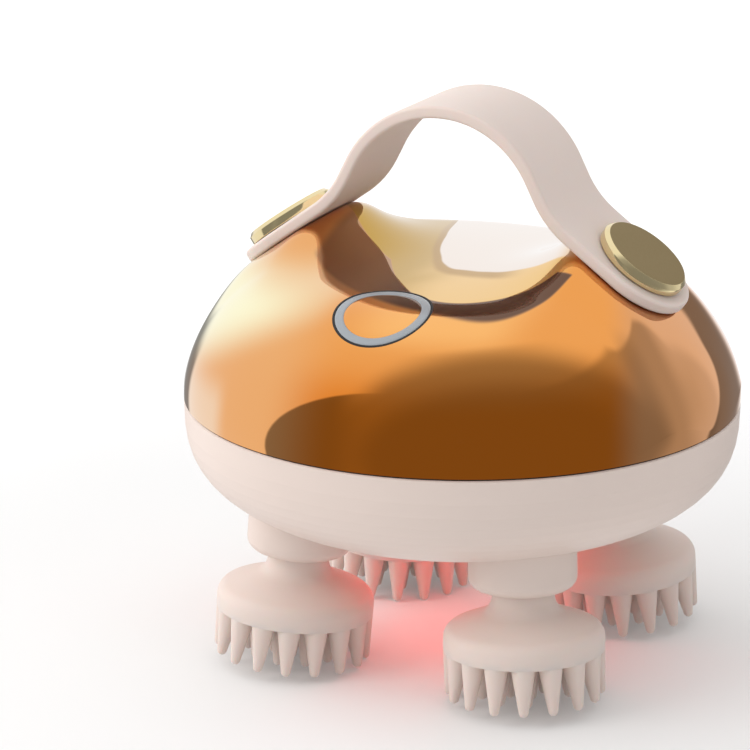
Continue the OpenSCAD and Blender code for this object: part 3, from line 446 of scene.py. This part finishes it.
# A disc or ring that follows the cover, with walls that taper inwards so that it can sink
def discOnCover(shape, outer, inner, rings, lift, depth, edge=0.12, taper=0.96):
    loops = []
    for i in range(rings + 1):
        share = i / rings
        width = outer[0] + (inner[0] - outer[0]) * share
        high = outer[1] + (inner[1] - outer[1]) * share
        fall = edge if i == 0 or i == rings and inner[0] else 0.0
        loop = []
        for k in range(button["steps"]):
            turn = math.tau * k / button["steps"]
            loop.append(shape.verts.new(onCover(width / 2 * math.cos(turn), high / 2 * math.sin(turn),
                                                lift - fall)))
        loops.append([shape.edges.new((loop[k], loop[(k + 1) % len(loop)])) for k in range(len(loop))])
    for first, second in zip(loops, loops[1:]):
        bmesh.ops.bridge_loops(shape, edges=first + second)
    normal = (buttonMatrix.to_3x3() @ Vector((0, 0, 1))).normalized()
    under = []
    for loop in (loops[0], loops[-1]) if inner[0] else loops[:1]:
        made = bmesh.ops.extrude_edge_only(shape, edges=loop)
        moved = [item for item in made["geom"] if isinstance(item, bmesh.types.BMVert)]
        under += [item for item in made["geom"] if isinstance(item, bmesh.types.BMEdge)
                  and item.verts[0] in moved and item.verts[1] in moved]
        bmesh.ops.translate(shape, vec=normal * -depth, verts=moved)
        for vert in moved:
            local = buttonMatrix.inverted() @ vert.co
            vert.co = buttonMatrix @ Vector((local.x * taper, local.y * taper, local.z))
    if inner[0]:
        bmesh.ops.bridge_loops(shape, edges=under)
    else:
        bmesh.ops.remove_doubles(shape, verts=shape.verts, dist=1e-4)
        bmesh.ops.contextual_create(shape, geom=under)
    bmesh.ops.recalc_face_normals(shape, faces=shape.faces)


def makeButton():
    ringD = button["diameter"] - 2 * button["gap"]
    faceW = ringD - 2 * button["ringSide"]
    faceH = ringD - 2 * button["ringTop"]
    ring = bmesh.new()
    discOnCover(ring, (ringD, ringD), (faceW + button["faceGap"], faceH + button["faceGap"]), 8, 0.05,
                button["depth"])
    finishPiece("litRing", ring, "power_button", "grey_ring", ["button_ring"])
    face = bmesh.new()
    discOnCover(face, (faceW, faceH), (0, 0), 20, 0.03, button["depth"])
    finishPiece("buttonFace", face, "power_button", "gold_mirror", ["button_cap"])
    gasket = bmesh.new()
    outer = button["diameter"] + 2 * button["gasket"]
    inner = button["diameter"] - 0.1
    discOnCover(gasket, (outer, outer), (inner, inner), 3, 0.02, button["gasketDepth"], 0.02, 1.0)
    finishPiece("buttonSeal", gasket, "housing", "dark_rubber", ["button_gasket"])


makeButton()
print("stage: button made")


strap = {"width": 25.5, "thickness": 2.7, "height": 65.2, "crownRadius": 24.5, "lean": 63, "bend": 20,
         "half": 38.8, "edge": 0.75, "alongCells": 150, "acrossCells": 40, "endCells": 24}
strapOuter = seatDistance + strap["thickness"]
seatAlong = (strap["half"] - seatDistance * shoulderSin) / shoulderCos


def crossing(first, firstTurn, second, secondTurn):
    wide = math.sin(firstTurn - secondTurn)
    return Vector(((first * math.cos(secondTurn) - second * math.cos(firstTurn)) / wide,
                   (math.sin(firstTurn) * second - math.sin(secondTurn) * first) / wide))


leanTurn = math.radians(strap["lean"])
shoulderTurn = math.radians(cover["shoulder"])
crownZ = strap["height"] - strap["crownRadius"]
bendCentre = crossing(strap["crownRadius"] + strap["bend"] + crownZ * math.cos(leanTurn), leanTurn,
                      strapOuter + strap["bend"], shoulderTurn)
crownLength = strap["crownRadius"] * leanTurn
bendLength = strap["bend"] * (leanTurn - shoulderTurn)
bendEnd = bendCentre - strap["bend"] * Vector((shoulderSin, shoulderCos))


# Point and outward normal of the strap's outer face at a distance from its crown
def strapAt(distance):
    side = -1 if distance < 0 else 1
    run = abs(distance)
    if run < crownLength:
        turn = run / strap["crownRadius"]
        point = Vector((0, crownZ)) + strap["crownRadius"] * Vector((math.sin(turn), math.cos(turn)))
    elif run < crownLength + bendLength:
        turn = leanTurn - (run - crownLength) / strap["bend"]
        point = bendCentre - strap["bend"] * Vector((math.sin(turn), math.cos(turn)))
    else:
        turn = shoulderTurn
        point = bendEnd + (run - crownLength - bendLength) * Vector((shoulderCos, -shoulderSin))
    normal = Vector((math.sin(turn) * side, 0, math.cos(turn)))
    return Vector((point.x * side, 0, point.y + seamZ)), normal


seatStart = bendEnd.x * shoulderCos - bendEnd.y * shoulderSin
capRun = crownLength + bendLength + seatAlong - seatStart


def makeStrap():
    shape = bmesh.new()
    half = strap["width"] / 2
    bmesh.ops.create_grid(shape, x_segments=strap["alongCells"] + 2 * strap["endCells"],
                          y_segments=strap["acrossCells"], size=1)
    total = strap["alongCells"] + 2 * strap["endCells"]
    sheets = [(1, shape.verts[:])]
    lower = bmesh.ops.duplicate(shape, geom=shape.verts[:] + shape.edges[:] + shape.faces[:])
    sheets.append((-1, [item for item in lower["geom"] if isinstance(item, bmesh.types.BMVert)]))
    bmesh.ops.reverse_faces(shape, faces=[item for item in lower["geom"]
                                          if isinstance(item, bmesh.types.BMFace)])
    for face, verts in sheets:
        for vert in verts:
            column = (vert.co.x + 1) / 2 * total
            across = math.sin(vert.co.y * math.pi / 2)
            end = strap["endCells"]
            over = 0  # share of the rounded end that lies behind this column
            if column < end:
                over = (end - column) / end
            elif column > total - end:
                over = (column - total + end) / end
            side = -1 if column < total / 2 else 1
            if over > 0:
                u = math.sin(over * math.pi / 2)
                x = u * math.sqrt(max(0, 1 - across * across / 2))
                y = across * math.sqrt(max(0, 1 - u * u / 2))
                distance = side * (capRun + half * x)
                inset = half * (1 - math.hypot(x, y))
            else:
                y = across
                distance = ((column - end) / strap["alongCells"] * 2 - 1) * capRun
                inset = half * (1 - abs(y))
            rounded = strap["thickness"] / 2
            edge = strap["edge"]
            if inset < edge:
                rounded -= edge - math.sqrt(max(0, edge * edge - (edge - inset) ** 2))
            point, normal = strapAt(distance)
            middle = point - normal * strap["thickness"] / 2
            vert.co = middle + normal * rounded * face + Vector((0, y * half, 0))
    rim = [edge for edge in shape.edges if edge.is_boundary]
    bmesh.ops.bridge_loops(shape, edges=rim)
    bmesh.ops.recalc_face_normals(shape, faces=shape.faces)
    finishPiece("handStrap", shape, "housing", "blush_silicone", ["hand_strap"], sharp=60)


makeStrap()
print("stage: strap made")


cap = {"diameter": 20.4, "thickness": 2.8, "lift": 0.3, "bevel": 0.85, "steps": 128,
       "footRound": 0.2, "sideRound": 0.08, "topRound": 0.06}
capMatrix = {side: Matrix.Translation((side * strap["half"], 0,
                                       seamZ + seatDistance * shoulderCos - seatAlong * shoulderSin))
             @ Matrix.Rotation(side * shoulderTurn, 4, "Y") for side in (-1, 1)}


def makeCaps():
    radius = cap["diameter"] / 2
    top = strap["thickness"] + cap["thickness"]
    bottom = strap["thickness"] + cap["lift"]
    bevel = cap["bevel"]
    foot, edge, crown = cap["footRound"], cap["sideRound"], cap["topRound"]
    side = bmesh.new()
    for sign in (-1, 1):
        one = bmesh.new()
        outline = [(0, bottom), (radius - 0.3, bottom)]
        outline += arc((radius - foot, bottom + foot), foot, -90, 0, 3)
        outline += arc((radius - edge, top - bevel), edge, 0, 45, 3)
        outline += arc((radius - bevel + 0.03, top - crown), crown, 45, 90, 3)
        outline += [(radius - bevel - 0.3, top), (radius * 0.5, top), (0, top)]
        lathe(one, outline, cap["steps"], capMatrix[sign])
        bmesh.ops.recalc_face_normals(one, faces=one.faces)
        normal = capMatrix[sign].to_3x3() @ Vector((0, 0, 1))
        for face in one.faces:
            face.material_index = 1 if face.normal.dot(normal) > 0.995 else 0
        mesh = bpy.data.meshes.new("part")
        one.to_mesh(mesh)
        one.free()
        side.from_mesh(mesh)
        bpy.data.meshes.remove(mesh)
    finishPiece("strapCaps", side, "housing", "pale_gold_metal", ["strap_caps"],
                [finishes["pale_gold_metal"], capFace()], sharp=25)


makeCaps()
print("stage: caps made")


head = {"distance": 38, "rim": 34, "neck": 13.2, "slope": 22, "neckRound": 4, "rimRound": 3,
        "rimDrop": 2.6, "edge": 0.3, "top": 13.4, "bevel": 0.4, "lean": 4.7, "steps": 128,
        "tineLength": 10.1, "tineTip": 1.6, "tipInset": 0.3, "rootRadius": 2.45, "tipRadius": 1.05,
        "rootGap": 0.02, "tipGap": 0.1, "rimGap": 0.03, "fillet": 0.8, "sunk": 0.5, "tineSteps": 20,
        # per ring: tines, share of the rim's radius at root and at tip, turn as a share of the pitch
        "rings": ((16, 1.0, 1.0, 0.0), (10, 0.62, 0.6, 0.5), (5, 0.25, 0.25, 0.0))}
leanAngle = math.radians(head["lean"])
# Height of the discs' rims, with the lowest tips just on the floor
rimHeight = ((head["rim"] / 2 - head["tineTip"] / 2 - head["tipInset"]) * math.sin(leanAngle)
             + (head["rimDrop"] + head["tineLength"] - head["tineTip"] / 2) * math.cos(leanAngle)
             + head["tineTip"] / 2)


def headOutline():
    slope = math.radians(head["slope"])
    both = head["neckRound"] + head["rimRound"]
    run = (head["rim"] - head["neck"]) / 2
    rise = both * math.cos(slope) + (run - both * (1 - math.sin(slope))) * math.tan(slope)
    neck, top, bevel = head["neck"] / 2, head["top"], head["bevel"]
    neckRound, rimRound = head["neckRound"], head["rimRound"]
    rim, edge = head["rim"] / 2, head["edge"]
    line = [(0, top - bevel), (neck - bevel, top - bevel), (neck, top - 2 * bevel)]
    for i in range(9):
        turn = (math.pi / 2 - slope) * i / 8
        line.append((neck + neckRound * (1 - math.cos(turn)), rise - neckRound * math.sin(turn)))
    for i in range(9):
        turn = (math.pi / 2 - slope) * (1 - i / 8)
        line.append((rim - rimRound * (1 - math.cos(turn)), rimRound * math.sin(turn)))
    return line + arc((rim - edge, edge - head["rimDrop"]), edge, 0, -90, 4) + [(0, -head["rimDrop"])]


# One tine along +z, flared where it leaves the disc
def tineOutline(length):
    root, tip, flare = head["rootRadius"], head["tipRadius"], head["fillet"]
    foot = arc((root + flare, flare), flare, 270, 180, 6)
    return [(0, -head["sunk"]), (foot[0][0], -head["sunk"])] + foot + arc((0, length), tip, 4, 90, 8)


def headSkin():
    shape = bmesh.new()
    lathe(shape, headOutline(), head["steps"])
    rim, root, tip = head["rim"] / 2, head["rootRadius"], head["tipRadius"]
    rootAt, tipAt = rim - root - head["rootGap"], rim - tip - head["tipGap"]
    reach = (rimHeight - tip - tipAt * math.sin(leanAngle)) / math.cos(leanAngle) - head["rimDrop"]
    flush = rim - head["rimGap"]
    for count, rootShare, tipShare, offset in head["rings"]:
        for k in range(count):
            near, far = rootAt * rootShare, tipAt * tipShare
            lean = math.atan((far - near) / reach)
            tine = bmesh.new()
            place = (Matrix.Rotation(math.tau * (k + offset) / count, 4, "Z")
                     @ Matrix.Translation((near, 0, -head["rimDrop"]))
                     @ Matrix.Rotation(math.pi - lean, 4, "Y"))
            lathe(tine, tineOutline(reach / math.cos(lean)), head["tineSteps"], place)
            for vert in tine.verts:
                out = vert.co.xy.length
                if out > flush:
                    vert.co.xy *= flush / out  # the outer tines end flush with the disc
            mesh = bpy.data.meshes.new("part")
            tine.to_mesh(mesh)
            tine.free()
            shape.from_mesh(mesh)
            bpy.data.meshes.remove(mesh)
    bmesh.ops.recalc_face_normals(shape, faces=shape.faces)
    return shape


def makeHeads():
    skin = headSkin()
    for index, name in enumerate(positions):
        shape = skin.copy()
        turn = Matrix.Rotation(math.radians(45 + 90 * index), 4, "Z")
        place = (turn @ Matrix.Translation((head["distance"], 0, rimHeight))
                 @ Matrix.Rotation(-leanAngle, 4, "Y"))
        bmesh.ops.transform(shape, matrix=place, verts=shape.verts)
        finishPiece("siliconeHead_" + name, shape, "head_" + name, "blush_silicone",
                    ["massage_head_" + name], sharp=60)
    skin.free()


makeHeads()
print("stage: heads made")


studio = {"floor": 6.0, "level": 0.72, "top": 0.45, "left": 1.1, "dimFront": 0.30, "dimRight": 0.40,
          "nearGlow": 0.12, "farGlow": 0.25, "glowFrom": (0.08, 0.35), "bounce": 0.35,
          "screenRadius": 0.5, "frontCard": 0.72, "sideCard": 0.62, "backCard": 0.72}
# Where the world's bright and dim parts begin and are full, as parts of a direction
sky = {"topFrom": (0.55, 0.98), "leftFrom": (0.72, 0.98), "frontFrom": (0.05, 0.8),
       "frontLeft": (-0.90, -0.80), "frontBelow": (0.72, 0.99), "rightFrom": (0.38, 0.60),
       "rightBelow": (0.70, 0.86)}
# Where the screen's grey cards begin and are full, as shares of its radius
cards = {"frontFrom": (0.18, 0.50), "frontDeep": (0.42, 0.75), "frontRight": (-0.50, -0.12),
         "edgeFrom": (0.565, 0.59), "edgeLeft": (-0.12, -0.50), "rightFrom": (0.50, 0.62),
         "rightBelow": (0.76, 0.70), "rightBack": (0.45, 0.80), "backFrom": (0.66, 0.72),
         "backRight": (-0.10, 0.24), "backBelow": (0.5, 0.3), "backSlope": (0.53, 0.48),
         "farLeft": (-0.55, -0.70), "farBack": (0.44, 0.54), "farBelow": (0.05, -0.15)}
lamps = {"key": {"at": (-0.60, -0.65, 0.55), "power": 2.6, "tint": (1.0, 0.98, 0.96)},
         "fill": {"at": (0.8, -0.3, 0.4), "power": 0.5, "tint": (1, 1, 1)}}
lampSide = 0.5
lampAim = Vector((0, 0, 0.06))


# 1 for rays of the camera, of reflections and of glass, else 0
def seenRay(tree):
    path = tree.nodes.new("ShaderNodeLightPath")
    kinds = ("Is Camera Ray", "Is Glossy Ray", "Is Transmission Ray")
    rays = [Wire(tree, path.outputs[kind]) for kind in kinds]
    return rays[0].most(rays[1]).most(rays[2])


def makeFloor():
    shape = bmesh.new()
    bmesh.ops.create_grid(shape, x_segments=1, y_segments=1, size=studio["floor"])
    mesh = bpy.data.meshes.new("floor")
    shape.to_mesh(mesh)
    shape.free()
    look = Finish("paleFloor", {"Roughness": 0.9, "Specular IOR Level": 0.1})
    look.feed("Base Color", look.mix(look.noise(3), rgb(0.80, 0.80, 0.80), rgb(0.81, 0.81, 0.81)))
    look.shader.inputs["Emission Color"].default_value = rgb(1, 1, 1)
    x, y, z = look.axes()
    # The floor glows less within about 0.08 to 0.35 m of the body, a painted shade around it; beyond that
    # it glows evenly
    floorGlowWithPaintedShade = look.ease((x * x + y * y) ** 0.5, *studio["glowFrom"]) * studio["farGlow"] + studio["nearGlow"]
    glow = (seenRay(look.tree) * (1 - studio["bounce"]) + studio["bounce"]) * floorGlowWithPaintedShade
    look.feed("Emission Strength", glow)
    mesh.materials.append(look.material)
    floor = bpy.data.objects.new("floor", mesh)
    bpy.context.scene.collection.objects.link(floor)
    floor.visible_glossy = False


def areaLight(name, at, power, tint):
    lamp = bpy.data.lights.new(name, "AREA")
    lamp.shape = "RECTANGLE"
    lamp.size = lamp.size_y = lampSide
    lamp.energy = power
    lamp.color = tint
    holder = bpy.data.objects.new(name, lamp)
    holder.location = at
    holder.rotation_euler = (lampAim - Vector(at)).to_track_quat("-Z", "Y").to_euler()
    holder.visible_glossy = False
    bpy.context.scene.collection.objects.link(holder)


# White for the camera and in reflections; the diffuse light is brightest above and at the left
def makeWorld():
    world = bpy.data.worlds.new("studio")
    bpy.context.scene.world = world
    world.use_nodes = True
    room = Wiring(world.node_tree, "Generated")
    x, y, z = room.axes()
    ramp = room.ramps(sky)
    top = ramp(z, "topFrom") * studio["top"]
    left = ramp(x * -0.93 + y * -0.05 + z * 0.36, "leftFrom") * studio["left"]
    front = ramp(y * -1, "frontFrom") * ramp(x - z * 0.22, "frontLeft") * (1 - ramp(z, "frontBelow"))
    right = ramp(x, "rightFrom") * (1 - ramp(z, "rightBelow"))
    level = ((studio["level"] + top + left) * (1 - front * studio["dimFront"])
             * (1 - right * studio["dimRight"]))
    background = room.tree.nodes["Background"]
    plug(room.tree, background.inputs["Strength"], level + (1 - level) * seenRay(room.tree))
    background.inputs["Color"].default_value = rgb(1, 1, 1)


# A studio screen all round the part, white with grey cards, which only reflections see
def makeScreen():
    shape = bmesh.new()
    radius = studio["screenRadius"]
    bmesh.ops.create_uvsphere(shape, u_segments=64, v_segments=32, radius=radius,
                              matrix=Matrix.Translation((0, 0, seamZ * mm)))
    for face in shape.faces:
        face.smooth = True
    mesh = bpy.data.meshes.new("screen")
    shape.to_mesh(mesh)
    shape.free()
    look = Finish("screenCards", {"Base Color": rgb(0, 0, 0), "Roughness": 1.0, "Specular IOR Level": 0.0,
                                  "Emission Strength": 1.0})
    x, y, z = look.axes()
    x, y, z = x / radius, y / radius, (z - seamZ * mm) / radius
    ramp = look.ramps(cards)
    side = x * 0.62 - y * 0.78
    front = (ramp(side, "frontFrom") * 0.84 + ramp(side, "frontDeep") * 0.16) * ramp(x, "frontRight")
    edge = ramp(y * -1 - z * 0.18, "edgeFrom") * ramp(x, "edgeLeft")
    right = ramp(x, "rightFrom") * ramp(z, "rightBelow") * (1 - ramp(y, "rightBack") * 0.55)
    back = (ramp(y, "backFrom") * ramp(x, "backRight") * ramp(z, "backBelow")
            * ramp(x + z * 0.5, "backSlope"))
    far = ramp(x, "farLeft") * ramp(y, "farBack") * ramp(z, "farBelow")
    card = 1 - (1 - (front + edge).least(1)) * (1 - right * studio["sideCard"])
    level = (1 - card * studio["frontCard"]) * (1 - (back + far).least(1) * studio["backCard"])
    look.feed("Emission Color", look.mix(level, rgb(0, 0, 0), rgb(1, 1, 1)))
    look.material.cycles.emission_sampling = "NONE"
    mesh.materials.append(look.material)
    screen = bpy.data.objects.new("screen", mesh)
    bpy.context.scene.collection.objects.link(screen)
    for kind in ("camera", "diffuse", "transmission", "volume_scatter", "shadow"):
        setattr(screen, "visible_" + kind, False)


makeFloor()
makeWorld()
makeScreen()
for name, lamp in lamps.items():
    areaLight(name, lamp["at"], lamp["power"], lamp["tint"])

view = {"at": (0.2710, -0.6006, 0.2026), "aim": (-0.4184, 0.8610, -0.2891), "lens": 152.9}
camera = bpy.data.cameras.new("camera")
camera.lens = view["lens"]
camera.sensor_width = 36
camera.clip_start = 0.05
holder = bpy.data.objects.new("camera", camera)
holder.location = Vector(view["at"]) + Vector((0, 0, seamZ * mm))
holder.rotation_euler = Vector(view["aim"]).to_track_quat("-Z", "Y").to_euler()
bpy.context.scene.collection.objects.link(holder)
bpy.context.scene.camera = holder
bpy.context.scene.view_settings.view_transform = "Standard"
print("stage: studio made")
